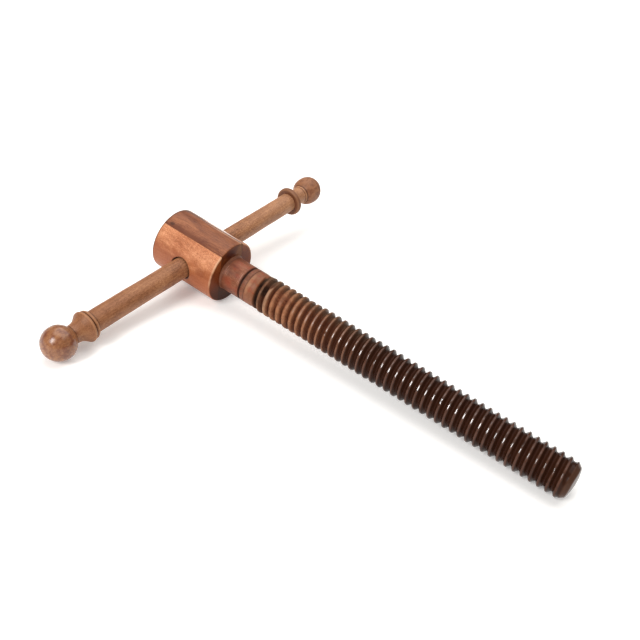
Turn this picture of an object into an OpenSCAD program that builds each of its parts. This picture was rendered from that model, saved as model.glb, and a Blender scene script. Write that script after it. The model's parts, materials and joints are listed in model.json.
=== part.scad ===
// Wooden bench-vise clamp screw: a laminated cylindrical head glued on a turned screw,
// with a sliding tommy bar through the head.
// Frame: the screw's axis is X and points to the tip, the bar lies along Y, and Z is up.
// The origin is on the axis, in the head's front face, where the neck starts.

/* [Head] */
// Diameter of the head
head_d = 70.4; // [66:0.1:90]
// Length of the head along the screw
head_len = 83; // [70:1:110]
// Rounding of the head's two rims
rim_round = 1.6; // [0.5:0.1:3]
// Glue plane between the near cheek and the core board, as a distance from the axis
near_glue = 18; // [17:0.5:22]
// Glue plane between the far cheek and the core board, as a distance from the axis
far_glue = 16; // [16:0.5:22]
// Distance of the bar's hole behind the head's front face
hole_back = 41.5; // [40:0.5:50]
// Diameter of the bar's hole
hole_d = 24.6; // [23.6:0.1:26]

/* [Screw] */
// Diameter over the thread's crests
crest_d = 41; // [40:0.1:42]
// Diameter at the thread's root
root_d = 33; // [31:0.1:34]
// Pitch of the single right-hand thread
pitch = 8.5; // [8:0.1:9]
// Width of the crest's flat
crest_w = 1.2; // [0.5:0.1:1.5]
// Length from the head's front face to the rim of the tip
screw_len = 411; // [300:1:500]
// Diameter of the plain neck, and of the band after the garter groove
neck_d = 38.4; // [37.6:0.1:39]
// Distance of the garter groove's middle from the head's front face
groove_x = 26.5; // [22:0.5:28]
// Width of the garter groove at the surface
groove_w = 3.4; // [2:0.1:5]
// Depth of the garter groove
groove_depth = 2.2; // [1:0.1:4]
// Distance from the head's front face to the end of the plain band
band_end = 46.5; // [44:0.5:50]
// Length of the bevel at the tip
tip_bevel = 6.5; // [4:0.5:8]
// Diameter of the tip's end
tip_d = 30.6; // [28:0.1:32]
// Height of the slightly domed end above its rim
dome_height = 2; // [0.5:0.1:4]
// Diameter of the flat in the middle of the domed end
dome_flat_d = 6; // [4:0.5:16]
// Diameter of the stub tenon that is glued into the head
tenon_d = 29; // [26:0.5:30]
// Length of the stub tenon
tenon_len = 26; // [20:1:27]
// How far the neck's shoulder is let into the head's front face
shoulder_depth = 1.5; // [0.5:0.5:3]

/* [Tommy bar] */
// Diameter of the bar
bar_d = 22.8; // [21:0.1:23]
// Distance from the screw's axis to the face of the near collar
near_collar_y = 160.5; // [120:0.5:180]
// Distance from the screw's axis to the face of the far collar
far_collar_y = 154.3; // [120:0.5:180]
// Diameter of the near collar
near_collar_d = 32.8; // [30:0.1:36]
// Diameter of the ball on the near end
ball_d = 35.8; // [33:0.1:40]
// Diameter of the waists between the collars and the end knobs
waist_d = 19.4; // [18:0.1:21]
// Diameter of the far collar
far_collar_d = 34.2; // [30:0.1:36]
// Diameter of the knob on the far end
knob_d = 33.4; // [30:0.1:36]
// Diameter of the tenon that carries the far finial
finial_tenon_d = 12; // [10:0.5:13]
// Length of the tenon that carries the far finial
finial_tenon_len = 38; // [20:1:42]

/* [Hidden] */
$fn = 96;

head_r = head_d / 2;
neck_r = neck_d / 2;
bar_r = bar_d / 2;
waist_r = waist_d / 2;
tip_r = tip_d / 2;
glue_gap = 0.1;                     // room for glue round a tenon or shoulder, and at a tenon's end
tenon_chamfer = 1;                  // lead-in at the end of a tenon
arc_steps = 6;                      // straight steps that stand for a turned curve
beyond = 1;                         // how far a cutter runs past the wood

ball_y = near_collar_y + 39.4;      // middle of the near ball
knob_y = far_collar_y + 40.7;       // middle of the far knob

// The thread: each line of points runs along the screw, and each next line is one step
// further round and one step further along, so a full turn moves it by one pitch.
thread_sides = 24;                  // lines of points round the screw
thread_start = 38;                  // the mesh starts inside the band, clear of its surface
seat_r = neck_r - 1;                // its radius while it is inside the band
rise_start = band_end - 2.5;        // the thread grows to its full form between these two
rise_end = band_end + 0.5;
crest_x = 57.26 - crest_w / 2;      // where one crest starts on the line at +Y
turn_form = [[0, crest_d / 2], [crest_w, crest_d / 2], [(pitch + crest_w) / 2, root_d / 2]];
turn_points = len(turn_form);
first_turn = floor((thread_start - crest_x) / pitch) - 1;
last_turn = ceil((screw_len - crest_x) / pitch);
line_points = (last_turn - first_turn + 1) * turn_points;

// ---------- shared shapes ----------

// Points of an arc round [x, r], from angle a0 to angle a1
function arc(x, r, radius, a0, a1) =
    [for (i = [0 : arc_steps]) let (a = a0 + (a1 - a0) * i / arc_steps)
        [x + radius * cos(a), r + radius * sin(a)]];

// Points of a turned cove that falls from radius r0 at x0 to radius r1 at x1
function cove(x0, r0, x1, r1) =
    [for (i = [0 : arc_steps]) let (t = i / arc_steps)
        [x0 + (x1 - x0) * t, r1 + (r0 - r1) * pow(1 - t, 2.2)]];

// Turned solid from [distance along the lathe, radius] points, standing on Z
module turned(outline) {
    rotate_extrude() polygon([for (p = outline) [p[1], p[0]]]);
}

// Points away from the axis: along the screw, towards the near end, towards the far end
module along_screw() { rotate([0, 90, 0]) children(); }
module towards_near() { translate([-hole_back, 0, 0]) rotate([90, 0, 0]) children(); }
module towards_far() { translate([-hole_back, 0, 0]) rotate([-90, 0, 0]) children(); }

// ---------- head: three boards glued side by side, then turned ----------

module head_cylinder() {
    c = rim_round;
    along_screw() turned(concat(
        [[-head_len, 0]],
        arc(-head_len + c, head_r - c, c, 180, 90),
        arc(-c, head_r - c, c, 90, 0),
        [[0, 0]]));
}

module bar_hole() {
    towards_far() translate([0, 0, -head_r - beyond]) cylinder(d = hole_d, h = head_d + 2 * beyond);
}

// The shallow recess in the front face that the neck's shoulder sits in
module shoulder_seat() {
    translate([-shoulder_depth, 0, 0]) along_screw()
        cylinder(d = neck_d + 2 * glue_gap, h = shoulder_depth + beyond);
}

// The part of the drilled head between two planes across Y
module head_board(y0, y1) {
    difference() {
        intersection() {
            head_cylinder();
            translate([-head_len - beyond, y0, -head_d]) cube([head_len + 2 * beyond, y1 - y0, 2 * head_d]);
        }
        bar_hole();
        shoulder_seat();
    }
}

module head_core() {
    color([0.66, 0.45, 0.34]) difference() {
        head_board(-near_glue, far_glue);
        translate([-tenon_len - glue_gap, 0, 0]) along_screw()
            cylinder(d = tenon_d + 2 * glue_gap, h = tenon_len + glue_gap + beyond);
    }
}

module head_cheek_near() {
    color([0.84, 0.57, 0.40]) head_board(-head_r - beyond, -near_glue);
}

module head_cheek_far() {
    color([0.84, 0.57, 0.40]) head_board(far_glue, head_r + beyond);
}

// ---------- screw ----------

// Everything on the shaft that is plain turning: tenon, neck, garter groove and band
module shaft_turning() {
    along_screw() turned([
        [-tenon_len, 0],
        [-tenon_len, tenon_d / 2 - tenon_chamfer],
        [-tenon_len + tenon_chamfer, tenon_d / 2],
        [-shoulder_depth, tenon_d / 2],
        [-shoulder_depth, neck_r],
        [groove_x - groove_w / 2, neck_r],
        [groove_x, neck_r - groove_depth],
        [groove_x + groove_w / 2, neck_r],
        [band_end - 0.8, neck_r],
        [band_end, neck_r - 0.8],
        [band_end, 0]]);
}

// The domed end, a hair smaller than the thread's mesh so that it stands on that mesh's end
module end_dome() {
    base_r = tip_r * cos(180 / thread_sides) - 0.05;
    flat_r = dome_flat_d / 2;
    dome = [for (i = [0 : arc_steps]) let (t = 1 - i / arc_steps)
        [screw_len + dome_height * (1 - t * t), flat_r + (base_r - flat_r) * t]];
    along_screw() turned(concat(
        [[screw_len - beyond, 0], [screw_len - beyond, base_r]],
        dome,
        [[screw_len + dome_height, 0]]));
}

// How much of the thread's form is cut at x, from 0 inside the band to 1
function thread_share(x) = min(1, max(0, (x - rise_start) / (rise_end - rise_start)));
function bevel_r(x) = tip_r + (crest_d / 2 - tip_r) * (screw_len - x) / tip_bevel;
function thread_r(x, form_r) =
    min(bevel_r(x), seat_r + (form_r - seat_r) * thread_share(x));
function thread_x(line, i) =
    crest_x + turn_form[i % turn_points][0]
    + pitch * (first_turn + floor(i / turn_points) + line / thread_sides);
function on_thread(line, x, r) =
    let (a = 360 * line / thread_sides) [x, r * cos(a), r * sin(a)];

// Number of the point i of a line; what lies past an end becomes that end's ring,
// and the line after the last is the first one, a turn further along
function point_number(line, i) =
    line == thread_sides ? point_number(0, i + turn_points)
    : let (x = thread_x(line, i))
        x <= thread_start ? line
        : x >= screw_len ? thread_sides * (line_points + 1) + line
        : thread_sides + line * line_points + i;

module thread_form() {
    start_ring = [for (line = [0 : thread_sides - 1]) on_thread(line, thread_start, seat_r)];
    surface = [for (line = [0 : thread_sides - 1]) for (i = [0 : line_points - 1])
        let (x = thread_x(line, i))
            on_thread(line, x, max(1, thread_r(x, turn_form[i % turn_points][1])))];
    end_ring = [for (line = [0 : thread_sides - 1]) on_thread(line, screw_len, tip_r)];
    corners = [for (line = [0 : thread_sides - 1]) for (i = [0 : line_points - 2])
        let (a = point_number(line, i), b = point_number(line, i + 1),
            c = point_number(line + 1, i + 1), d = point_number(line + 1, i))
            each [[a, b, c], [a, c, d]]];
    sides = [for (t = corners) if (t[0] != t[1] && t[1] != t[2] && t[2] != t[0]) t];
    start_face = [for (line = [0 : thread_sides - 1]) line];
    end_face = [for (line = [thread_sides - 1 : -1 : 0]) point_number(line, line_points - 1)];
    polyhedron(concat(start_ring, surface, end_ring), concat(sides, [start_face, end_face]));
}

module screw_shaft() {
    color([0.30, 0.17, 0.12]) union() {
        shaft_turning();
        thread_form();
        end_dome();
    }
}

// ---------- tommy bar ----------

// The bar with its near collar and ball in one piece, and a tenon for the far finial
module tommy_bar() {
    c = near_collar_y;
    collar_r = near_collar_d / 2;
    color([0.65, 0.40, 0.28]) towards_near() union() {
        turned(concat(
            [[-far_collar_y - finial_tenon_len, 0],
             [-far_collar_y - finial_tenon_len, finial_tenon_d / 2 - tenon_chamfer],
             [-far_collar_y - finial_tenon_len + tenon_chamfer, finial_tenon_d / 2],
             [-far_collar_y, finial_tenon_d / 2],
             [-far_collar_y, bar_r],
             [c, bar_r]],
            arc(c + 1.4, collar_r - 2.8, 1.4, 180, 0),
            arc(c + 5.6, collar_r - 2.7, 2.7, 175, 45),
            cove(c + 8, collar_r - 1, c + 23, waist_r),
            [[c + 25, waist_r + 0.3], [ball_y, waist_r + 0.3], [ball_y, 0]]));
        translate([0, 0, ball_y]) sphere(d = ball_d);
    }
}

// The far collar and knob, turned separately and glued on after the bar is through the head
module end_finial() {
    c = far_collar_y;
    bead = 4.5;
    collar_r = far_collar_d / 2;
    color([0.65, 0.40, 0.28]) towards_far() difference() {
        union() {
            turned(concat(
                [[c, 0]],
                arc(c + 4.3, collar_r - bead, bead, 162, 18),
                cove(c + 8.8, 12.6, c + 17, waist_r),
                [[c + 23.4, waist_r + 0.3], [c + 23.8, waist_r + 1.5], [c + 25.6, waist_r + 1.5],
                 [c + 26, waist_r + 0.9], [knob_y, waist_r + 0.9], [knob_y, 0]]));
            translate([0, 0, knob_y]) sphere(d = knob_d);
        }
        translate([0, 0, c - beyond])
            cylinder(d = finial_tenon_d + 2 * glue_gap, h = finial_tenon_len + glue_gap + beyond);
    }
}

head_core();
head_cheek_near();
head_cheek_far();
screw_shaft();
tommy_bar();
end_finial();
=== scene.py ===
"""Looks of the wooden bench-vise clamp screw: a laminated head on an old turned screw,
with a tommy bar through the head. Lengths in this script are millimetres; the meshes are
written in metres, in the frame of the CAD: X along the screw, Y along the bar, Z up."""

import json
import math
import random

import bmesh
import bpy
import numpy as np
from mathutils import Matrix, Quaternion, Vector, noise


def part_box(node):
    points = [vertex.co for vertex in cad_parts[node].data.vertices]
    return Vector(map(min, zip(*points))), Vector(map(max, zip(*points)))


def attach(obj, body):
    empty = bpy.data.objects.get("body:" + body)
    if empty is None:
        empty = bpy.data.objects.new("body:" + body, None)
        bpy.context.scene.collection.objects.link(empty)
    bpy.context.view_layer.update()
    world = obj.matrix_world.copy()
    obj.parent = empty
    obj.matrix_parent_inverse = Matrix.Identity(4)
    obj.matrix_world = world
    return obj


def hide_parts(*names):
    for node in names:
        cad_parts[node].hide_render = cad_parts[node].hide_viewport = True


MM = 0.001

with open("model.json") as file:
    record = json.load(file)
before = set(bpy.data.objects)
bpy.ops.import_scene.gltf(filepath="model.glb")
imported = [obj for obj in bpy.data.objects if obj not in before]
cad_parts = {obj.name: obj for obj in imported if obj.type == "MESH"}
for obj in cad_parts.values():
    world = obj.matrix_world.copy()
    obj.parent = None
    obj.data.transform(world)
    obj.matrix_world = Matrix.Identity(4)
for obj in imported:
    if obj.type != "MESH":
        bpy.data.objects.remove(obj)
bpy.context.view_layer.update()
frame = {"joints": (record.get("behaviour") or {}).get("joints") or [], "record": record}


# ---------- sizes, read from the frame ----------

def node_box(node):
    low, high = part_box(node)
    return [c / MM for c in low], [c / MM for c in high]


def mount_x(name):
    mounts = {m["name"]: m for m in frame["record"]["mounts"]}
    return mounts[name]["pos_m"][0] / MM


core_low, core_high = node_box("head_core")
shaft_low, shaft_high = node_box("screw_shaft")
bar_low, bar_high = node_box("tommy_bar")
finial_low, finial_high = node_box("end_finial")

HEAD_R = core_high[2]
HEAD_BACK = core_low[0]
NEAR_GLUE = core_low[1]
FAR_GLUE = core_high[1]
TIP_X = shaft_high[0]
TENON_X = shaft_low[0]
CREST_R = shaft_high[2]
BAND_END = mount_x("screw_thread")
GROOVE_X = mount_x("garter_groove")
BAR_X = frame["joints"][0]["pos_m"][0] / MM
FAR_COLLAR = finial_low[1]
FINIAL_END = finial_high[1]
BAR_END = -bar_low[1]
FINIAL_TENON_END = bar_high[1]

# Sizes that the frame's boxes don't give, the same as in the CAD
NECK_R = 19.2
ROOT_R = 16.5
PITCH = 8.5
CREST_X = 57.26          # where a crest crosses the line at +Y
TIP_R = 15.3
TIP_BEVEL = 6.5
TIP_DOME = 2.0
TENON_R = 14.5
SHOULDER = 1.5           # how far the neck's shoulder is let into the head
BAR_R = 11.4
HOLE_R = 12.3
WAIST_R = 9.7
NEAR_COLLAR = 160.5
NEAR_COLLAR_R = 16.4
BALL_R = 17.9
FAR_COLLAR_R = 17.1
KNOB_R = 16.7
FINIAL_TENON_R = 6.0
GLUE_GAP = 0.1


# ---------- meshes ----------

def smooth_step(x, low, high):
    """0 below low, 1 above high, and a smooth rise between."""
    t = np.clip((np.asarray(x, float) - low) / (high - low), 0, 1)
    return t * t * (3 - 2 * t)


def soft_min(a, b, width):
    """The lower of a and b, with the corner between them rounded over about width."""
    return 0.5 * (a + b - np.sqrt((a - b) ** 2 + width ** 2))


def new_object(name, points, faces):
    """A mesh object from points in mm."""
    mesh = bpy.data.meshes.new(name)
    mesh.from_pydata([Vector(p) * MM for p in points], [], faces)
    thing = bpy.data.objects.new(name, mesh)
    bpy.context.scene.collection.objects.link(thing)
    return thing


def make_piece(name, points, faces, body, replaced, sharp_angle=40):
    """A piece of the object, shaded smooth with its sharp edges kept."""
    piece = new_object(name, points, faces)
    finish_mesh(piece, sharp_angle)
    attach(piece, body)
    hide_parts(replaced)
    return piece


def finish_mesh(piece, sharp_angle):
    work = bmesh.new()
    work.from_mesh(piece.data)
    bmesh.ops.recalc_face_normals(work, faces=work.faces)
    for face in work.faces:
        face.smooth = True
    for edge in work.edges:
        edge.smooth = edge.calc_face_angle(0) < math.radians(sharp_angle)
    work.to_mesh(piece.data)
    work.free()


def set_attribute(piece, name, values):
    """A number at each vertex, which the material reads by name."""
    layer = piece.data.attributes.new(name, "FLOAT", "POINT")
    layer.data.foreach_set("value", np.asarray(values, np.float32))


def arc(s, r, radius, start, end, steps):
    """Points of an arc round [s, r] from one angle to another, in degrees."""
    angles = np.radians(np.linspace(start, end, steps))
    return [(s + radius * math.cos(a), r + radius * math.sin(a)) for a in angles]


def curve(knots, step):
    """A smooth turned profile through its knots, each (s, r), with no overshoot."""
    s, r = np.array(knots, float).T
    gaps, rises = np.diff(s), np.diff(r) / np.diff(s)
    slopes = np.concatenate([[rises[0]], (rises[1:] + rises[:-1]) / 2, [rises[-1]]])
    slopes[1:-1] = np.where(rises[1:] * rises[:-1] <= 0, 0, slopes[1:-1])
    points = []
    for k, gap in enumerate(gaps):
        for t in np.arange(0, 1, min(0.5, step / gap)):
            h = (2 * t ** 3 - 3 * t ** 2 + 1, t ** 3 - 2 * t ** 2 + t,
                 -2 * t ** 3 + 3 * t ** 2, t ** 3 - t ** 2)
            points.append((s[k] + t * gap, h[0] * r[k] + h[1] * gap * slopes[k]
                           + h[2] * r[k + 1] + h[3] * gap * slopes[k + 1]))
    return points + [(s[-1], r[-1])]


def straight(s0, r0, s1, r1, step=1.5):
    count = max(2, int(math.hypot(s1 - s0, r1 - r0) / step) + 1)
    return [(s0 + (s1 - s0) * t, r0 + (r1 - r0) * t) for t in np.linspace(0, 1, count)]


def turned_faces(rows, sides):
    """Faces of a lathe mesh whose first and last vertices are its two poles."""
    first, last = 0, 1 + rows * sides
    ring = lambda row, side: 1 + row * sides + side % sides
    faces = [(first, ring(0, k + 1), ring(0, k)) for k in range(sides)]
    for row in range(rows - 1):
        faces += [(ring(row, k), ring(row, k + 1), ring(row + 1, k + 1), ring(row + 1, k))
                  for k in range(sides)]
    faces += [(last, ring(rows - 1, k), ring(rows - 1, k + 1)) for k in range(sides)]
    return faces


def profile_creases(outline, reach=1.6, full_depth=0.35):
    """How far each outline point lies below its neighbours within reach, as a share of
    full_depth: grooves are positive, ridges are negative."""
    points = np.array(outline)
    apart = points[:, None] - points[None, :]
    weight = np.exp(-(np.hypot(apart[..., 0], apart[..., 1]) / reach) ** 2)
    lengths = np.hypot(*np.diff(points, axis=0).T)
    spacing = np.gradient(np.concatenate([[0], np.cumsum(lengths)]))
    weight = weight * spacing[None, :]
    mean = weight @ points / weight.sum(1)[:, None]
    tangent = np.gradient(points, axis=0)
    normal = np.stack([-tangent[:, 1], tangent[:, 0]], 1)
    normal /= np.linalg.norm(normal, axis=1)[:, None] + 1e-9
    return np.clip(((mean - points) * normal).sum(1) / full_depth, -1, 1)


def lathe(name, outline, place, wobble, body, replaced, sides=144):
    """A turned piece. place(s, across, up) puts a lathe point in the frame, and
    wobble(s, r, angle) is how far the surface stands off the true circle."""
    rings = [p for p in outline if p[1] > 1e-6]
    points = [place(outline[0][0], 0, 0)]
    for s, r in rings:
        for k in range(sides):
            a = 2 * math.pi * k / sides
            radius = r + wobble(s, r, a)
            points.append(place(s, radius * math.cos(a), radius * math.sin(a)))
    points.append(place(outline[-1][0], 0, 0))
    piece = make_piece(name, points, turned_faces(len(rings), sides), body, replaced)
    creases = np.repeat(profile_creases(rings), sides)
    set_attribute(piece, "crease", np.concatenate([[0], creases, [0]]))
    return piece


# ---------- the screw ----------

THREAD_SIDES = 128
NECK_ROWS_END = 41.0       # rows are rings up to here, and follow the thread beyond
RIM_X = TIP_X - TIP_DOME
BEVEL_X = RIM_X - TIP_BEVEL
SCRIBE_X = 33.2            # a fine line turned in the band
FACE_LINE_X = 2.9          # a dark line round the neck, by the head
CREST_FLAT = 1.5
ROOT_FLAT = 0.9
CREST_BLEND = 0.35         # how far the edges of a crest are rounded over
MEAN_R = 18                # where the surface noise is read

# Points within one turn of the thread, as distances from its crest
FORM = [0, 0.3, 0.55, 0.8, 1.1, 1.7, 2.4, 3.1, 3.7,
        4.25, 4.8, 5.4, 6.1, 6.8, 7.4, 7.7, 7.95, 8.2]


def thread_turns(x, angle):
    """Turns of thread from the crest at CREST_X, along the helix."""
    return (x - CREST_X) / PITCH - angle / (2 * math.pi)


def crest_radius(x):
    """The crests rise from the band's size to their own in the first turn."""
    return NECK_R + 0.1 + (CREST_R - 0.1 - NECK_R) * smooth_step(x, BAND_END - 3, BAND_END + 7)


# Spots on the screw: (x, angle in degrees, length along, length round, depth)
dice = random.Random(7)
KNOCKS = [(dice.uniform(50, 400), dice.uniform(0, 360), dice.uniform(0.8, 2.2),
           dice.uniform(1.0, 5.0), dice.uniform(0.3, 1.0)) for _ in range(90)]
FILLED_SPOT = (77, 120, 4.5, 12, 0)
WORN_FLATS = [(80, 122, 4.5, 11, 1.2), (58, 84, 4, 7, 1.0), (64, 155, 4, 8, 0.6),
              (100, 60, 5, 8, 0.8), (112, 250, 6, 9, 0.8), (150, 20, 5, 8, 0.7),
              (205, 300, 6, 8, 0.7), (260, 200, 5, 8, 0.6)]


def patch(x, angle, spot):
    """A smooth spot on the screw, 1 in its middle."""
    px, pa, along, around, _ = spot
    turn = (angle - math.radians(pa) + math.pi) % (2 * math.pi) - math.pi
    return np.exp(-((x - px) / along) ** 2 - (turn * CREST_R / around) ** 2)


def thread_depth(x, angle):
    """Depth of the thread at x: the cutter comes in where the groove leaves the band, with a
    steep wall on the band's side, and it rises again in the last turn."""
    turn = np.round(thread_turns(x, angle) + 0.5) - 0.5
    groove_x = CREST_X + PITCH * (turn + angle / (2 * math.pi))
    cut_in = smooth_step(groove_x, BAND_END - 0.7, BAND_END + 0.4)
    run_out = 1 - 0.55 * smooth_step(groove_x, BEVEL_X - 4, BEVEL_X)
    depth = (CREST_R - ROOT_R) * cut_in * run_out * (1 - 0.6 * patch(x, angle, FILLED_SPOT))
    wall = np.maximum(x - (groove_x - 2.9), 0) * 2.4
    return np.where(groove_x < BAND_END + 6, np.minimum(depth, wall), depth)


def surface_noise(x, angle, scale, seed):
    """Smooth noise over the screw's surface, from -1 to 1."""
    flat = np.broadcast_arrays(x, angle)
    out = np.empty(flat[0].size)
    for k, (px, pa) in enumerate(zip(flat[0].ravel(), flat[1].ravel())):
        across, up = math.cos(pa) * MEAN_R * scale, math.sin(pa) * MEAN_R * scale
        out[k] = noise.noise((px * scale + seed, across, up))
    return out.reshape(flat[0].shape)


def thread_radius(x, angle):
    """Radius of the threaded part, its wear and its knocks included."""
    turns = thread_turns(x, angle)
    from_crest = abs(turns - np.round(turns)) * PITCH
    depth = thread_depth(x, angle)
    slope = (CREST_R - ROOT_R) / (PITCH / 2 - CREST_FLAT / 2 - ROOT_FLAT / 2)
    fall = (from_crest - CREST_FLAT / 2) * slope
    fall = 0.5 * (fall + np.sqrt(fall ** 2 + CREST_BLEND ** 2))
    fall = soft_min(fall, depth, 0.7 * np.clip(depth, 0.1, 1))
    crest = crest_radius(x)
    radius = crest - np.maximum(fall, 0)
    wear = 0.06 + 0.15 * abs(surface_noise(x, angle, 0.11, 3))
    wear = wear + 0.4 * (1 - smooth_step(x, 90, 130))
    for spot in WORN_FLATS:
        wear = wear + spot[4] * patch(x, angle, spot)
    radius = soft_min(radius, crest - wear, 0.12)
    for knock in KNOCKS:
        on_crest = smooth_step(radius, ROOT_R + 1.5, CREST_R - 0.5)
        radius = radius - knock[4] * patch(x, angle, knock) * on_crest
    roughness = 0.07 - 0.062 * smooth_step(x, 80, 150)
    return radius + roughness * surface_noise(x, angle, 0.5, 11)


def shaft_radius(x, angle):
    """Radius of the whole shaft outside the head."""
    groove_wall = 2.2 * np.exp(-((x - GROOVE_X) / 1.05) ** 4)
    scribed = 0.35 * np.exp(-((x - SCRIBE_X) / 0.35) ** 2)
    lip = 1.5 * smooth_step(np.cos(angle - 1.8), -0.1, 0.8) + 0.15 * np.cos(5 * angle + 1)
    root_bead = (0.3 + lip) * (1 - smooth_step(x, 1.0, 2.8))
    neck = NECK_R + root_bead - groove_wall - scribed + 0.06 * np.cos(2 * angle + 0.02 * x)
    share = smooth_step(x, NECK_ROWS_END - 0.5, NECK_ROWS_END + 1.5)
    body = neck * (1 - share) + thread_radius(x, angle) * share
    bevel = TIP_R + (CREST_R - TIP_R) * (RIM_X - x) / TIP_BEVEL
    return soft_min(body, bevel + 0.1, 0.35)


def shaft_rows():
    """x of the neck's rings, of the thread's points at +Y, and of the bevel's rings."""
    neck_rows = np.concatenate([np.linspace(0, 2.6, 8), np.linspace(3.2, 24, 22),
                                np.linspace(24.3, 28.8, 19), np.linspace(29.4, 32.6, 5),
                                np.linspace(32.8, 33.8, 6), np.linspace(34.6, NECK_ROWS_END, 9)])
    first_turn = math.floor((NECK_ROWS_END - CREST_X) / PITCH) - 1
    last_turn = math.ceil((BEVEL_X - CREST_X) / PITCH)
    turns = range(first_turn, last_turn + 1)
    helix_rows = np.array([CREST_X + PITCH * turn + f for turn in turns for f in FORM])
    bevel_rows = np.linspace(BEVEL_X, RIM_X - 0.5, 13)
    return neck_rows, helix_rows, bevel_rows


def build_shaft():
    """Rings for the tenon, the neck and the tip, and between them lines of points that
    follow the thread, so that its crests and roots lie on edges of the mesh."""
    neck_rows, helix_rows, bevel_rows = shaft_rows()
    sides = THREAD_SIDES
    angles = 2 * math.pi * np.arange(sides) / sides
    points, ring_start = [], {}

    def add_ring(key, x, radius):
        ring_start[key] = len(points)
        for a, r in zip(angles, np.broadcast_to(radius, angles.shape)):
            points.append((x, r * math.cos(a), r * math.sin(a)))

    points.append((TENON_X, 0, 0))
    tenon = [(TENON_X, TENON_R - 1), (TENON_X + 1, TENON_R), (-SHOULDER, TENON_R),
             (-SHOULDER, NECK_R), (-0.02, NECK_R)]
    for k, (x, r) in enumerate(tenon):
        add_ring(("tenon", k), x, r)
    for k, x in enumerate(neck_rows):
        add_ring(("neck", k), x, shaft_radius(x, angles))
    helix_start = len(points)
    for k, a in enumerate(angles):
        xs = helix_rows + PITCH * k / sides
        for x, r in zip(xs, shaft_radius(xs, np.full_like(xs, a))):
            points.append((x, r * math.cos(a), r * math.sin(a)))
    for k, x in enumerate(bevel_rows):
        add_ring(("bevel", k), x, shaft_radius(x, angles))
    end_shares = (1, 0.96, 0.9, 0.8, 0.65, 0.5, 0.3, 0.15)
    for k, share in enumerate(end_shares):
        add_ring(("end", k), RIM_X + TIP_DOME * (1 - share ** 2), (TIP_R - 0.45) * share)
    points.append((TIP_X, 0, 0))

    def starts(*parts):
        return [start for (part, _), start in ring_start.items() if part in parts]

    neck_starts, tip_starts = starts("tenon", "neck"), starts("bevel", "end")
    faces = []
    for group in (neck_starts, tip_starts):
        for a, b in zip(group, group[1:]):
            for k in range(sides):
                n = (k + 1) % sides
                faces.append((a + k, a + n, b + n, b + k))
    for k in range(sides):
        n = (k + 1) % sides
        faces.append((0, neck_starts[0] + n, neck_starts[0] + k))
        faces.append((len(points) - 1, tip_starts[-1] + k, tip_starts[-1] + n))

    rows = len(helix_rows)
    neck_end, bevel_start = neck_starts[-1], tip_starts[0]

    def corner(side, row):
        """A helix point, or a point of the ring that the helix would pass. The line after
        the last one is the first one, a turn on."""
        if side == sides:
            side, row = 0, row + len(FORM)
        if row >= rows or helix_rows[row] + PITCH * side / sides >= BEVEL_X:
            return bevel_start + side
        if helix_rows[row] + PITCH * side / sides <= NECK_ROWS_END:
            return neck_end + side
        return helix_start + side * rows + row

    for side in range(sides):
        for row in range(rows - 1):
            loop = [corner(side, row), corner(side, row + 1),
                    corner(side + 1, row + 1), corner(side + 1, row)]
            loop = [v for k, v in enumerate(loop) if v not in loop[:k]]
            if len(loop) > 2:
                faces.append(tuple(loop))

    used = sorted({v for face in faces for v in face})
    number = {v: k for k, v in enumerate(used)}
    points = [points[v] for v in used]
    faces = [tuple(number[v] for v in face) for face in faces]
    piece = make_piece("screw_shaft_wood", points, faces, "screw", "screw_shaft",
                       sharp_angle=70)
    mark_shaft(piece, np.array(points))
    return piece


def mark_shaft(piece, place):
    """Say where the crests, the roots and the turned lines are, for the material. The worn
    turns near the head are light further down their sides."""
    x, radius = place[:, 0], np.hypot(place[:, 1], place[:, 2])
    below = crest_radius(x) - radius
    light = smooth_step(x, 57, 66) * (1 - smooth_step(x, 75, 130))
    crest = (1 - smooth_step(below, 0.1 + 0.5 * light, 0.7 + 2.3 * light)) * smooth_step(x, 44, 48)
    rim = 0.8 * np.exp(-((x - RIM_X) / 0.7) ** 2)
    crest = crest * (1 - smooth_step(x, BEVEL_X + 1, BEVEL_X + 3)) + rim
    root = smooth_step(below, 2.2 + 0.3 * light, 3.6 + 0.2 * light)
    root = root * (1 - smooth_step(x, BEVEL_X, BEVEL_X + 3))
    first_groove = smooth_step(x, 43, 44) * (1 - smooth_step(x, 49.5, 51))
    root = np.maximum(root, smooth_step(below, 1.4, 2.8) * first_groove)
    lines = (np.exp(-((x - GROOVE_X) / 1.5) ** 2) + 0.6 * np.exp(-((x - SCRIBE_X) / 0.5) ** 2)
             + 0.3 * np.exp(-((x - FACE_LINE_X) / 0.6) ** 2))
    set_attribute(piece, "crest", crest)
    set_attribute(piece, "root", np.clip(root + lines, 0, 1))


# ---------- the head ----------

def head_outline(rim=1.6):
    face_rings = (6, 12, 18, 24, 29)
    return ([(HEAD_BACK, r) for r in face_rings]
            + arc(HEAD_BACK + rim, HEAD_R - rim, rim, 180, 90, 8)
            + straight(HEAD_BACK + 2 * rim, HEAD_R, -2 * rim, HEAD_R, 3)
            + arc(-rim, HEAD_R - rim, rim, 90, 0, 8)
            + [(0, r) for r in reversed(face_rings)])


def solid_object(name, points, faces):
    """A closed mesh with its faces turned outwards, ready to cut or to be cut."""
    thing = new_object(name, points, faces)
    work = bmesh.new()
    work.from_mesh(thing.data)
    bmesh.ops.recalc_face_normals(work, faces=work.faces)
    work.to_mesh(thing.data)
    work.free()
    return thing


def turned_object(name, outline, sides):
    points = [(outline[0][0], 0, 0)]
    for x, r in outline:
        for k in range(sides):
            a = 2 * math.pi * k / sides
            points.append((x, r * math.cos(a), r * math.sin(a)))
    points.append((outline[-1][0], 0, 0))
    return solid_object(name, points, turned_faces(len(outline), sides))


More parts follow.
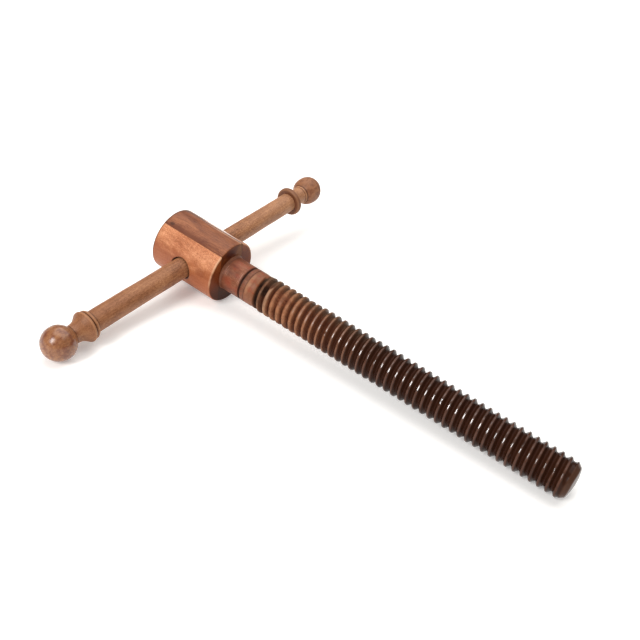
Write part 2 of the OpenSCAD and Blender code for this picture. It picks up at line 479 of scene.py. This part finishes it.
def hole_cutter(sides=96, overshoot=6):
    """A cutter for the bar's hole. It flares where it leaves the round head, so that the
    lips of the hole are eased."""
    # How far each ring stands out from the hole's wall and lies below the head's surface
    flare = [(1.0, -0.02), (0.6, 0.1), (0.3, 0.3), (0.1, 0.6), (0.0, 1.0)]
    mouth = [(1.0, None)] + flare
    rings = [(*ring, 1) for ring in mouth] + [(*ring, -1) for ring in reversed(mouth)]
    points = [(BAR_X, HEAD_R + overshoot, 0)]
    for out, deep, side in rings:
        radius = HOLE_R + out
        for k in range(sides):
            a = 2 * math.pi * k / sides
            height = radius * math.sin(a)
            reach = HEAD_R + overshoot
            if deep is not None:
                reach = math.sqrt(HEAD_R ** 2 - height ** 2) - deep
            points.append((BAR_X + radius * math.cos(a), side * reach, height))
    points.append((BAR_X, -HEAD_R - overshoot, 0))
    return solid_object("hole_cutter", points, turned_faces(len(rings), sides))


def box_object(name, low, high):
    xs, ys, zs = zip(low, high)
    corners = [(x, y, z) for x in xs for y in ys for z in zs]
    faces = [(0, 1, 3, 2), (4, 6, 7, 5), (0, 4, 5, 1), (2, 3, 7, 6), (0, 2, 6, 4), (1, 5, 7, 3)]
    return solid_object(name, corners, faces)


def cut(target, cutter, operation):
    """Cut the target's mesh for good, so that no modifier is left on it."""
    modifier = target.modifiers.new("cut", "BOOLEAN")
    modifier.operation = operation
    modifier.solver = "EXACT"
    modifier.object = cutter
    graph = bpy.context.evaluated_depsgraph_get()
    result = bpy.data.meshes.new_from_object(target.evaluated_get(graph))
    target.modifiers.clear()
    target.data = result


def build_head():
    """The three boards of the head, cut from one turned and drilled cylinder."""
    whole = turned_object("head_blank", head_outline(), 240)
    hole = hole_cutter()
    cut(whole, hole, "DIFFERENCE")
    seat_r, socket_r = NECK_R + GLUE_GAP, TENON_R + GLUE_GAP
    socket_x = TENON_X - GLUE_GAP
    seat = turned_object("seat_cutter", [(-SHOULDER, seat_r), (2, seat_r)], 128)
    cut(whole, seat, "DIFFERENCE")
    socket = turned_object("socket_cutter", [(socket_x, socket_r), (2, socket_r)], 96)
    reach = HEAD_R + 5
    boards = {"head_core": (NEAR_GLUE, FAR_GLUE, "core_wood"),
              "head_cheek_near": (-reach, NEAR_GLUE, "cheek_wood"),
              "head_cheek_far": (FAR_GLUE, reach, "cheek_wood")}
    pieces = {}
    for node, (y0, y1, slot) in boards.items():
        board = bpy.data.objects.new(node + "_wood", whole.data.copy())
        bpy.context.scene.collection.objects.link(board)
        slab = box_object("slab", (HEAD_BACK - 5, y0, -reach), (5, y1, reach))
        cut(board, slab, "INTERSECT")
        if node == "head_core":
            cut(board, socket, "DIFFERENCE")
        bpy.data.objects.remove(slab)
        finish_mesh(board, 34)
        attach(board, "screw")
        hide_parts(node)
        pieces[node] = board
    for helper in (whole, hole, seat, socket):
        bpy.data.objects.remove(helper)
    return pieces


# ---------- the tommy bar ----------

def near_outline():
    """The bar from its far tenon to the ball, as distances from the screw's axis towards -Y."""
    c, top = NEAR_COLLAR, NEAR_COLLAR_R
    tenon_start = -FINIAL_TENON_END
    ball = BAR_END - BALL_R
    return (straight(tenon_start, FINIAL_TENON_R - 1, tenon_start + 1, FINIAL_TENON_R)
            + straight(tenon_start + 1.5, FINIAL_TENON_R, -FAR_COLLAR, FINIAL_TENON_R, 4)
            + straight(-FAR_COLLAR, FINIAL_TENON_R + 0.3, -FAR_COLLAR, BAR_R - 0.3, 2)
            + straight(-FAR_COLLAR + 0.1, BAR_R - 0.12, c - 0.1, BAR_R + 0.25, 1.2)
            + curve([(c, BAR_R + 1.2), (c + 0.5, top - 2.4), (c + 1.4, top - 1.5),
                     (c + 2.4, top - 1.1), (c + 3.5, top - 1.3), (c + 4.2, top - 2.0),
                     (c + 4.6, top - 2.8)], 0.3)
            + [(c + 4.8, top - 2.85)]
            + arc(c + 7.2, top - 2.2, 2.2, 165, 60, 14)
            + curve([(c + 8.8, top - 0.75), (c + 11.1, top - 2.45), (c + 13.8, top - 4.45),
                     (c + 17, top - 5.8), (c + 20.4, WAIST_R + 0.25), (c + 22.8, WAIST_R + 0.15),
                     (c + 24.2, WAIST_R + 0.4)], 0.5)
            + curve([(c + 24.5, WAIST_R + 0.1), (c + 26.3, WAIST_R + 1.9),
                     (c + 29.0, WAIST_R + 4.4), (c + 32.2, WAIST_R + 6.5),
                     (c + 35.5, WAIST_R + 7.8), (ball, BALL_R)], 0.5)
            + arc(ball, 0, BALL_R, 88, 3, 40))


def far_outline():
    """The far collar and knob with their socket, as distances from the axis towards +Y."""
    c, top = FAR_COLLAR, FAR_COLLAR_R
    socket_r = FINIAL_TENON_R + GLUE_GAP
    socket_end = FINIAL_TENON_END + GLUE_GAP
    knob = FINIAL_END - KNOB_R
    return (straight(socket_end, 2, socket_end, socket_r, 2)
            + straight(socket_end, socket_r, c, socket_r, 4)
            + straight(c, socket_r + 0.2, c, top - 2.5, 1.5)
            + arc(c + 2.3, top - 2.4, 2.3, 172, 100, 12)
            + curve([(c + 2.7, top - 0.03), (c + 4.2, top), (c + 6.1, top - 0.8),
                     (c + 7.5, top - 2.1), (c + 8.5, top - 3.8), (c + 8.9, 12.2),
                     (c + 11.2, 10.7), (c + 14, WAIST_R + 0.15), (c + 18, WAIST_R - 0.1),
                     (c + 24.4, WAIST_R + 0.35)], 0.4)
            + [(c + 24.7, WAIST_R + 1.1), (c + 25.2, WAIST_R + 1.4), (c + 26.0, WAIST_R + 1.4),
               (c + 26.4, WAIST_R + 1.1), (c + 26.7, WAIST_R + 1.1)]
            + curve([(c + 27.0, WAIST_R + 1.5), (c + 28.4, WAIST_R + 3.2),
                     (c + 30.4, WAIST_R + 4.9), (c + 33.4, WAIST_R + 6.2),
                     (c + 36.6, KNOB_R - 0.25), (knob, KNOB_R)], 0.5)
            + arc(knob, 0, KNOB_R, 88, 78, 6)
            + arc(knob, 0, KNOB_R - 0.6, 76, 74, 2)
            + arc(knob, 0, KNOB_R, 72, 3, 34))


def hand_made(amount, seed):
    """The slight unevenness of a hand-turned and much-handled piece."""
    def wobble(s, r, angle):
        spot = Vector((s * 0.035 + seed, math.cos(angle) * r * 0.06, math.sin(angle) * r * 0.06))
        fine = Vector((s * 0.22 + seed, math.cos(angle) * r * 0.25, math.sin(angle) * r * 0.25))
        return amount * (noise.noise(spot) + 0.35 * noise.noise(fine))
    return wobble


def build_bar():
    return lathe("tommy_bar_wood", near_outline(), lambda s, y, z: (BAR_X + y, -s, z),
                 hand_made(0.22, 5), "handle", "tommy_bar")


def build_finial():
    return lathe("end_finial_wood", far_outline(), lambda s, y, z: (BAR_X + y, s, z),
                 hand_made(0.16, 9), "handle", "end_finial")


# ---------- materials ----------

def linear(red, green, blue):
    """An sRGB colour, 0 to 255, as linear values."""
    shares = [c / 255 for c in (red, green, blue)]
    return tuple(((c + 0.055) / 1.055) ** 2.4 if c > 0.04 else c / 12.92 for c in shares) + (1,)


class Shader:
    """A node material, with short calls for the nodes that wood needs. Lengths are in mm."""

    def __init__(self, name):
        self.material = bpy.data.materials.new(name)
        self.material.use_nodes = True
        self.tree = self.material.node_tree
        self.surface = self.tree.nodes["Principled BSDF"]
        coordinates = self.tree.nodes.new("ShaderNodeTexCoord")
        self.place = self.vector("SCALE", coordinates.outputs["Object"], 1 / MM)
        self.normal = coordinates.outputs["Normal"]

    def put(self, socket, value):
        if isinstance(value, bpy.types.NodeSocket):
            self.tree.links.new(value, socket)
        elif value is not None:
            socket.default_value = value

    def vector(self, operation, a, b):
        node = self.tree.nodes.new("ShaderNodeVectorMath")
        node.operation = operation
        self.put(node.inputs[0], a)
        self.put(node.inputs["Scale"] if operation == "SCALE" else node.inputs[1], b)
        return node.outputs["Vector"]

    def math(self, operation, *values):
        node = self.tree.nodes.new("ShaderNodeMath")
        node.operation = operation
        for socket, value in zip(node.inputs, values):
            self.put(socket, value)
        return node.outputs[0]

    def plus(self, a, b):
        return self.math("ADD", a, b)

    def minus(self, a, b):
        return self.math("SUBTRACT", a, b)

    def times(self, first, *others):
        for other in others:
            first = self.math("MULTIPLY", first, other)
        return first

    def length(self, a, b):
        """Length of a vector with the parts a and b."""
        return self.math("SQRT", self.plus(self.times(a, a), self.times(b, b)))

    def split(self, vector):
        node = self.tree.nodes.new("ShaderNodeSeparateXYZ")
        self.put(node.inputs[0], vector)
        return node.outputs

    def join(self, x, y, z):
        node = self.tree.nodes.new("ShaderNodeCombineXYZ")
        for socket, value in zip(node.inputs, (x, y, z)):
            self.put(socket, value)
        return node.outputs[0]

    def noise(self, where, scales, detail, roughness=0.55):
        """Noise from 0 to 1 at where, with a scale for each axis."""
        node = self.tree.nodes.new("ShaderNodeTexNoise")
        self.put(node.inputs["Vector"], self.vector("MULTIPLY", where, scales))
        node.inputs["Scale"].default_value = 1.0
        node.inputs["Detail"].default_value = detail
        node.inputs["Roughness"].default_value = roughness
        return node.outputs["Fac"]

    def span(self, value, low, high, to_low=0.0, to_high=1.0):
        """value from low to high, spread smoothly over to_low to to_high and held at the
        ends. low may be above high."""
        node = self.tree.nodes.new("ShaderNodeMapRange")
        node.interpolation_type = "SMOOTHSTEP"
        limits = {"Value": value, "From Min": low, "From Max": high,
                  "To Min": to_low, "To Max": to_high}
        for name, limit in limits.items():
            self.put(node.inputs[name], limit)
        return node.outputs["Result"]

    def ramp(self, value, stops):
        node = self.tree.nodes.new("ShaderNodeValToRGB")
        self.put(node.inputs[0], value)
        elements = node.color_ramp.elements
        while len(elements) < len(stops):
            elements.new(0.5)
        for element, (place, colour) in zip(elements, stops):
            element.position = place
            element.color = colour
        return node.outputs["Color"]

    def mix(self, share, a, b, blend="MIX"):
        node = self.tree.nodes.new("ShaderNodeMix")
        node.data_type = "RGBA"
        node.blend_type = blend
        self.put(node.inputs["Factor"], share)
        self.put(node.inputs["A"], a)
        self.put(node.inputs["B"], b)
        return node.outputs["Result"]

    def spot(self, along, across, centre, reach):
        """1 in the middle of a spot and fading to 0 at its reach; both are pairs."""
        off = [self.math("DIVIDE", self.minus(value, middle), size)
               for value, middle, size in zip((along, across), centre, reach)]
        return self.span(self.plus(*(self.times(part, part) for part in off)), 1.0, 0.1)

    def attribute(self, name):
        node = self.tree.nodes.new("ShaderNodeAttribute")
        node.attribute_name = name
        return node.outputs["Fac"]

    def bump(self, height, distance, strength):
        node = self.tree.nodes.new("ShaderNodeBump")
        self.put(node.inputs["Height"], height)
        node.inputs["Distance"].default_value = distance * MM
        self.put(node.inputs["Strength"], strength)
        return node.outputs["Normal"]


def grain_place(shader, axis, seed):
    """Coordinates with the grain along X, gently warped so that the fibres wander."""
    x, y, z = shader.split(shader.place)
    along, across, up = (x, y, z) if axis == "X" else (y, x, z)
    along = shader.plus(along, seed)
    slow = shader.noise(shader.join(along, across, up), (0.012, 0.03, 0.03), 2)
    sway = shader.times(shader.minus(slow, 0.5), 9.0)
    return shader.join(along, shader.plus(across, sway),
                       shader.plus(up, shader.times(sway, 0.7)))


def ring_pattern(shader, grain, pith, spacing, tilt):
    """Late wood of the growth rings round a pith line at (y, z) that leans by tilt."""
    x, y, z = shader.split(grain)
    lean = shader.times(x, tilt)
    dy = shader.minus(shader.plus(y, lean), pith[0])
    dz = shader.minus(z, pith[1])
    uneven = shader.noise(grain, (0.01, 0.05, 0.05), 3)
    distance = shader.plus(shader.length(dy, dz), shader.times(uneven, spacing * 2.2))
    ring = shader.math("FRACT", shader.math("DIVIDE", distance, spacing))
    return shader.times(shader.span(ring, 0.4, 0.93), shader.span(ring, 1.0, 0.95))


class Wood(Shader):
    """Oiled wood: growth rings, fibres, clouds of colour, flecks and pores. colours are
    dark, middle and light; the shares say how much each feature moves the tone."""

    def __init__(self, name, axis, seed, colours, pith, spacing, tilt, rings, fibre, cloud,
                 fleck, fine=0.35):
        super().__init__(name)
        dark, middle, light = (linear(*c) for c in colours)
        self.grain = grain_place(self, axis, seed)
        self.fibres = self.grain_noise(0.05, 1.6, 4)
        self.fine = self.grain_noise(0.25, 4.5, 2)
        self.cloud = self.grain_noise(0.035, 0.09, 4)
        specks = self.grain_noise(0.42, 1.25, 3)
        late = ring_pattern(self, self.grain, pith, spacing, tilt)
        tone = self.math("MULTIPLY_ADD", late, -rings, 0.5 + 0.35 * rings)
        for pattern, share in ((self.fibres, fibre), (self.fine, fine),
                               (self.cloud, cloud), (specks, fleck)):
            tone = self.plus(tone, self.times(self.minus(pattern, 0.5), share * 2))
        self.colour = self.ramp(tone, [(0.1, dark), (0.5, middle), (0.9, light)])
        self.pore = self.span(self.noise(self.grain, (0.16, 2.4, 2.4), 1), 0.66, 0.76)
        self.lay(tuple(0.4 * c for c in dark[:3]) + (1,), self.pore, 0.4)

    def grain_noise(self, along, across, detail):
        return self.noise(self.grain, (along, across, across), detail, 0.6)

    def lay(self, colour, *shares, blend="MIX"):
        """Lay a linear colour over the wood where the product of the shares is high."""
        self.colour = self.mix(self.times(*shares), self.colour, colour, blend)

    def tint(self, colour, *shares):
        """Lay an sRGB colour over the wood where the product of the shares is high."""
        self.lay(linear(*colour), *shares)

    def above_arch(self, x, y, peak, reach, rise):
        """How far y lies above an arch in the figure with its peak at (x, y)."""
        off = self.math("DIVIDE", self.minus(x, peak[0]), reach)
        arch = self.math("MULTIPLY_ADD", self.times(off, off), -rise, peak[1])
        return self.minus(y, arch)

    def finish(self, roughness, specular, texture=0.8):
        """Join the layers to the surface, with the fibres and the pores in its relief."""
        self.put(self.surface.inputs["Base Color"], self.colour)
        self.put(self.surface.inputs["Roughness"], roughness)
        height = self.plus(self.times(self.fibres, 0.6), self.times(self.fine, 0.4))
        height = self.minus(height, self.times(self.pore, 0.8))
        self.put(self.surface.inputs["Normal"], self.bump(height, 0.08, texture))
        self.put(self.surface.inputs["Specular IOR Level"], specular)
        return self.material


def finish_head(s, rim_wear_and_highlight):
    """What the three boards share: glue lines, worn rims with a painted highlight, painted shade
    at the lip of the hole and on the lower part of the end faces, and end grain.
    """
    x, y, z = s.split(s.place)
    near = s.math("ABSOLUTE", s.minus(y, NEAR_GLUE))
    far = s.math("ABSOLUTE", s.minus(y, FAR_GLUE))
    s.tint((60, 30, 18), s.span(s.math("MINIMUM", near, far), 0.35, 0.1), 0.6)
    side = s.span(s.length(y, z), HEAD_R - 2.4, HEAD_R - 1.0)
    end = s.span(s.math("ABSOLUTE", s.split(s.normal)[0]), 0.75, 0.97)
    s.lay((0.47, 0.31, 0.16, 1), end, 0.95, blend="MULTIPLY")
    # Painted shade on the lower part of the end faces
    s.tint((44, 31, 22), end, 0.6, s.span(z, 0, -20))
    # A painted highlight along the worn front rim, on its upper part
    rubbed_and_highlit = s.span(s.cloud, 0.35, 0.6, 0.3 * rim_wear_and_highlight, rim_wear_and_highlight)
    s.tint((226, 180, 142), side, s.span(x, -2.2, -0.7), s.span(z, -8, 12), rubbed_and_highlit)
    s.tint((66, 42, 30), side, s.span(x, HEAD_BACK + 3.0, HEAD_BACK + 0.8), 0.75)
    # Painted shade round the lip of the bar's hole
    off_bar = s.length(s.minus(x, BAR_X), z)
    s.tint((34, 16, 9), s.span(off_bar, HOLE_R + 1.6, HOLE_R + 0.2), 0.9)
    wear = s.plus(s.cloud, s.times(s.minus(s.fine, 0.5), 0.5))
    return s.finish(s.span(wear, 0.3, 0.72, 0.38, 0.52), s.math("MULTIPLY_ADD", end, -0.2, 0.3))


def cheek_material():
    s = Wood("cheek_wood", "X", 40.0, ((136, 74, 44), (184, 115, 76), (214, 150, 108)),
             pith=(-60.0, 30.0), spacing=3.4, tilt=0.05,
             rings=0.12, fibre=0.22, cloud=0.45, fleck=0.6)
    x, y, z = s.split(s.place)
    rays = s.noise(s.place, (1.5, 0.11, 0.11), 2)
    s.tint((224, 168, 124), s.span(rays, 0.52, 0.72, 0.0, 0.3))
    # Darker and redder towards the bottom: painted shade, with the wood's own redder colour
    uneven_z = s.plus(z, s.times(s.minus(s.cloud, 0.5), 40.0))
    s.tint((142, 72, 36), s.span(uneven_z, 24.0, 6.0, 0.0, 0.72))
    s.tint((110, 46, 22), s.spot(x, z, (-15, 9), (9, 6)), 0.4)
    # The far cheek is darker at its back with painted shade, and keeps more of its polish
    far = s.span(y, 5.0, 12.0)
    s.tint((70, 50, 40), far, 0.6, s.span(x, -50.0, -60.0))
    off_ends = s.span(s.math("ABSOLUTE", s.split(s.normal)[0]), 0.6, 0.2)
    s.put(s.surface.inputs["Coat Weight"], s.times(far, off_ends, s.span(x, -62.0, -46.0)))
    s.surface.inputs["Coat Roughness"].default_value = 0.1
    return finish_head(s, 0.6)


def core_material():
    s = Wood("core_wood", "X", 12.0, ((84, 39, 20), (134, 78, 48), (163, 104, 68)),
             pith=(4.0, -60.0), spacing=4.6, tilt=0.12,
             rings=0.12, fibre=0.45, cloud=0.5, fleck=0.25)
    x, y, z = s.split(s.place)
    top = s.span(z, 20, 26)
    # Two cathedral arches on top: peak, reach along, rise, share of the line and of the inside
    wavy_y = s.plus(y, s.times(s.minus(s.fibres, 0.5), 4.0))
    for peak, reach, rise, mark, fill in (((-50, -12.0), 27, 3.6, 0.25, 0.6),
                                          ((-19, -11.4), 13, 4.6, 0.45, 0.15)):
        above = s.above_arch(x, wavy_y, peak, reach, rise)
        line = s.span(s.math("ABSOLUTE", above), 1.3, 0.0, 0.0, mark)
        under = s.span(above, 1.4, -2.4, 0.0, fill)
        s.tint((84, 34, 16), s.math("MAXIMUM", line, under), top)
    s.tint((46, 20, 10), s.spot(x, y, (-74, -14.6), (4, 2.4)), 0.7, top)
    s.tint((84, 40, 22), s.span(s.grain_noise(0.02, 0.5, 2), 0.52, 0.66), 0.35)
    # A dark line and a painted highlight beside the far glue line
    s.tint((70, 42, 30), s.span(y, 13.2, 14.4, 0.0, 0.75), top)
    s.tint((214, 168, 138), s.spot(x, y, (-22, 12.4), (34, 1.3)), 0.6, top)
    front = s.span(x, -4, -1)
    s.tint((86, 26, 10), s.spot(y, z, (-4, 27), (10, 6)), 0.8, front)
    s.tint((206, 160, 120), s.spot(y, z, (12, 22), (8, 14)), 0.5, front)
    return finish_head(s, 0.0)


def shaft_material():
    """The screw, lighter and duller near the head, and dark and polished towards the tip."""
    s = Wood("screw_wood", "X", 77.0, ((72, 32, 17), (120, 67, 42), (148, 92, 63)),
             pith=(50.0, 12.0), spacing=3.0, tilt=0.02,
             rings=0.1, fibre=0.35, cloud=0.7, fleck=0.35)
    x, y, z = s.split(s.place)
    angle = s.math("DEGREES", s.math("ARCTAN2", z, y))
    along = s.plus(x, s.times(s.minus(s.cloud, 0.5), 70.0))
    threaded = s.span(x, 44.0, 47.0)
    crest, root = s.attribute("crest"), s.attribute("root")

    # The neck: two turned bands, red stains, and a painted highlight on the worn upper side of the
    # second band
    s.tint((104, 64, 42), s.span(x, 27.0, 28.5), s.span(x, SCRIBE_X + 0.4, SCRIBE_X - 0.4), 0.45)
    s.tint((128, 80, 51), s.span(x, SCRIBE_X - 0.2, SCRIBE_X + 0.8),
           s.span(x, BAND_END + 0.5, BAND_END - 1.5), 0.65)
    # Painted highlight on the worn upper side of the second band
    s.tint((190, 140, 104), s.spot(x, angle, (35.5, 135), (3.5, 45)), 0.3)
    stain = s.noise(s.place, (0.09, 0.13, 0.13), 2)
    s.tint((132, 52, 24), s.span(stain, 0.5, 0.66, 0.0, 0.5), s.span(x, 52.0, 44.0))
    for middle, reach, share in (((11, 163), (6, 18), 0.42), ((39, 150), (4, 12), 0.35),
                                 ((14, 110), (6, 12), 0.21)):
        s.tint((140, 52, 28), s.spot(x, angle, middle, reach), share)

    # The thread: darker towards the tip, worn on its crests, with painted shade and dirt in its
    # roots, black in its first groove
    s.tint((38, 20, 12), s.span(along, 45, 190, 0.1, 0.95), threaded)
    s.tint((62, 38, 25), s.span(x, 68, 58, 0.0, 0.7), threaded)
    worn = s.mix(s.span(along, 80, 210), linear(156, 106, 75), linear(84, 54, 42))
    s.lay(worn, crest, s.span(s.cloud, 0.35, 0.6, 0.35, 0.9))
    # Painted shade with dirt in the roots and the turned lines
    deep = s.mix(s.span(x, 58.0, 51.0), linear(50, 20, 8), linear(18, 8, 5))
    s.lay(deep, root, s.span(along, 50, 200, 0.9, 0.4))
    s.tint((88, 72, 54), s.span(y, -8, 5), threaded, s.span(x, 220, 120), 0.38)
    s.tint((24, 11, 6), s.spot(x, angle, (55, 128), (5, 26)), s.minus(1.0, crest), 0.85)
    grit = s.noise(s.place, (0.25, 0.2, 0.2), 4)
    s.tint((70, 46, 30), s.span(grit, 0.48, 0.66, 0.0, 0.35), threaded, s.span(x, 130, 90))
    s.tint((164, 130, 104), crest, 0.6, s.span(x, 68, 60), s.span(x, 49, 52))

    # Both ends, and scratches where the neck is rubbed, with a painted highlight on them
    s.tint((96, 50, 30), s.span(x, 14, 2, 0.0, 0.6))
    s.tint((92, 64, 50), s.span(x, BEVEL_X + 0.5, BEVEL_X + 2.5, 0.0, 0.5))
    scratch = s.noise(s.place, (3.2, 0.05, 0.05), 2)
    rubbed_and_highlit = s.math("MAXIMUM", s.spot(x, angle, (4, 137), (5, 26)),
                    s.spot(x, angle, (22.5, 137), (3.5, 30)))
    s.tint((216, 164, 136), s.span(scratch, 0.5, 0.68, 0.0, 0.55), rubbed_and_highlit)
    s.tint((150, 100, 70), s.span(x, 2.8, 1.6), 0.25)

    # Crests shine along their upper side, except near the head and at the tip
    dull = s.span(along, 70, 190, 1.0, 0.0)
    upper = s.span(s.math("ABSOLUTE", s.minus(angle, 130.0)), 26.0, 8.0, 0.12, 1.0)
    polished = s.times(crest, upper, s.span(x, 80, 130, 0.1, 1.0), s.span(x, 400, 320, 0.3, 1.0))
    glow = s.math("MULTIPLY_ADD", polished, 0.92, 0.08)
    roughness = s.plus(s.math("MULTIPLY_ADD", dull, 0.3, 0.17), s.times(root, 0.3))
    return s.finish(roughness, s.math("MAXIMUM", glow, s.span(x, 48.0, 42.0, 0.0, 0.3)),
                    s.math("MULTIPLY_ADD", dull, 0.77, 0.03))


def bar_material(name, seed):
    """The bar and its ends: lighter towards +Y, and glossy on the near ball."""
    s = Wood(name, "Y", seed, ((96, 54, 30), (148, 98, 65), (184, 132, 92)),
             pith=(20.0, -40.0), spacing=3.2, tilt=0.03,
             rings=0.1, fibre=0.18, cloud=0.5, fleck=0.65)
    y = s.split(s.place)[1]
    s.tint((130, 80, 46), s.span(y, 40, -190, 0.0, 0.45))
    s.tint((206, 158, 120), s.span(y, 40, 140, 0.0, 0.2))
    blotch = s.noise(s.grain, (0.16, 0.22, 0.22), 3)
    shiny = s.span(y, -176, -196)
    s.tint((104, 50, 30), s.span(blotch, 0.45, 0.64, 0.0, 0.75),
           s.math("MULTIPLY_ADD", shiny, 0.8, 0.15))
    # Painted shade on the far collar's face towards the bar
    far_collar = s.times(s.span(y, FAR_COLLAR - 0.4, FAR_COLLAR),
                         s.span(y, FAR_COLLAR + 9, FAR_COLLAR + 7.5))
    shaded_collar_face = s.span(s.split(s.normal)[1], 0.3, -0.2)
    s.tint((84, 42, 22), shaded_collar_face, far_collar, 0.85)
    s.tint((112, 66, 40), far_collar, 0.3)
    knob = s.span(y, FAR_COLLAR + 24.4, FAR_COLLAR + 27.5)
    s.tint((126, 76, 48), knob, 0.55)
    s.tint((98, 52, 34), knob, s.span(blotch, 0.45, 0.62, 0.0, 0.45))
    # Painted shade with dirt in the turned grooves, and a painted highlight with bare wood on the
    # ridges
    crease = s.attribute("crease")
    s.tint((62, 30, 18), s.span(crease, 0.1, 0.7, 0.0, 0.65))
    s.tint((204, 150, 108), s.span(crease, -0.25, -0.9, 0.0, 0.25))
    return s.finish(s.math("MULTIPLY_ADD", shiny, -0.28, 0.5),
                    s.math("MULTIPLY_ADD", shiny, 0.25, 0.3))


# ---------- floor, light and camera ----------

def resting_plane():
    """The surface that the object lies on: it touches the head's front rim, the thread by the
    tip and the near ball. Returns its upward normal and a point of it, in mm."""
    supports = [((0, 0, 0), HEAD_R, False), ((TIP_X - 9, 0, 0), CREST_R, False),
                ((BAR_X, -(BAR_END - BALL_R), 0), BALL_R, True)]
    normal = Vector((0, 0, 1))
    for _ in range(30):        # each pass turns the plane onto the round supports
        touching = []
        for centre, radius, is_ball in supports:
            down = -normal if is_ball else -Vector((0, normal.y, normal.z)).normalized()
            touching.append(Vector(centre) + radius * down)
        normal = (touching[1] - touching[0]).cross(touching[2] - touching[0]).normalized()
        if normal.z < 0:
            normal.negate()
    return normal, touching[0]


def build_floor():
    """A white sheet just under the object, which brightens to pure white far away."""
    normal, point = resting_plane()
    size, gap = 12000, 0.15
    bpy.ops.mesh.primitive_plane_add(size=size * MM, location=(point - gap * normal) * MM)
    floor = bpy.context.object
    floor.name = "floor"
    floor.rotation_euler = normal.to_track_quat("Z", "Y").to_euler()
    s = Shader("floor_white")
    s.surface.inputs["Base Color"].default_value = (0.9, 0.89, 0.87, 1)
    s.surface.inputs["Roughness"].default_value = 0.7
    s.surface.inputs["Specular IOR Level"].default_value = 0.2
    s.surface.inputs["Emission Color"].default_value = (1, 1, 1, 1)
    x, y, _ = s.split(s.place)
    glow = s.span(s.length(x, y), 600.0, 2600.0, 0.26, 1.0)
    s.put(s.surface.inputs["Emission Strength"], glow)
    floor.data.materials.append(s.material)


def build_light(name, direction, distance, width, height, power):
    """An area light that faces the object. Distances and sizes are metres, as in Blender."""
    target = Vector((0.12, 0, 0))
    data = bpy.data.lights.new(name, "AREA")
    data.shape = "RECTANGLE"
    data.size, data.size_y = width, height
    data.energy = power
    light = bpy.data.objects.new(name, data)
    bpy.context.scene.collection.objects.link(light)
    way = Vector(direction).normalized()
    light.location = target + way * distance
    light.rotation_euler = way.to_track_quat("Z", "Y").to_euler()


def build_camera():
    """The viewpoint: right of the near ball, looking down along the screw."""
    place = Vector((429.5, -572.5, 576.1)) * MM
    aim = Vector((114.8, 9.2, 0)) * MM
    roll = 0.207
    data = bpy.data.cameras.new("camera")
    data.sensor_width = 36
    data.lens = 47.3
    data.clip_start = 0.01
    camera = bpy.data.objects.new("camera", data)
    bpy.context.scene.collection.objects.link(camera)
    camera.location = place
    turn = (aim - place).to_track_quat("-Z", "Y") @ Quaternion((0, 0, 1), roll)
    camera.rotation_euler = turn.to_euler()
    bpy.context.scene.camera = camera


def build_stage():
    build_floor()
    build_light("key", (-0.16, -0.72, 0.68), 3.0, 0.9, 1.35, 64)
    build_light("top", (-0.2, 0.45, 1.0), 1.8, 2.6, 2.2, 38)
    world = bpy.data.worlds.new("studio")
    bpy.context.scene.world = world
    world.use_nodes = True
    background = world.node_tree.nodes["Background"]
    background.inputs["Color"].default_value = (1, 0.98, 0.94, 1)
    background.inputs["Strength"].default_value = 0.3
    bpy.context.scene.view_settings.view_transform = "Standard"


build_camera()
shaft = build_shaft()
boards = build_head()
bar = build_bar()
finial = build_finial()

cheek = cheek_material()
for piece, material in ((shaft, shaft_material()),
                        (boards["head_core"], core_material()),
                        (boards["head_cheek_near"], cheek),
                        (boards["head_cheek_far"], cheek),
                        (bar, bar_material("bar_wood", 5.0)),
                        (finial, bar_material("finial_wood", 63.0))):
    piece.data.materials.clear()
    piece.data.materials.append(material)

build_stage()
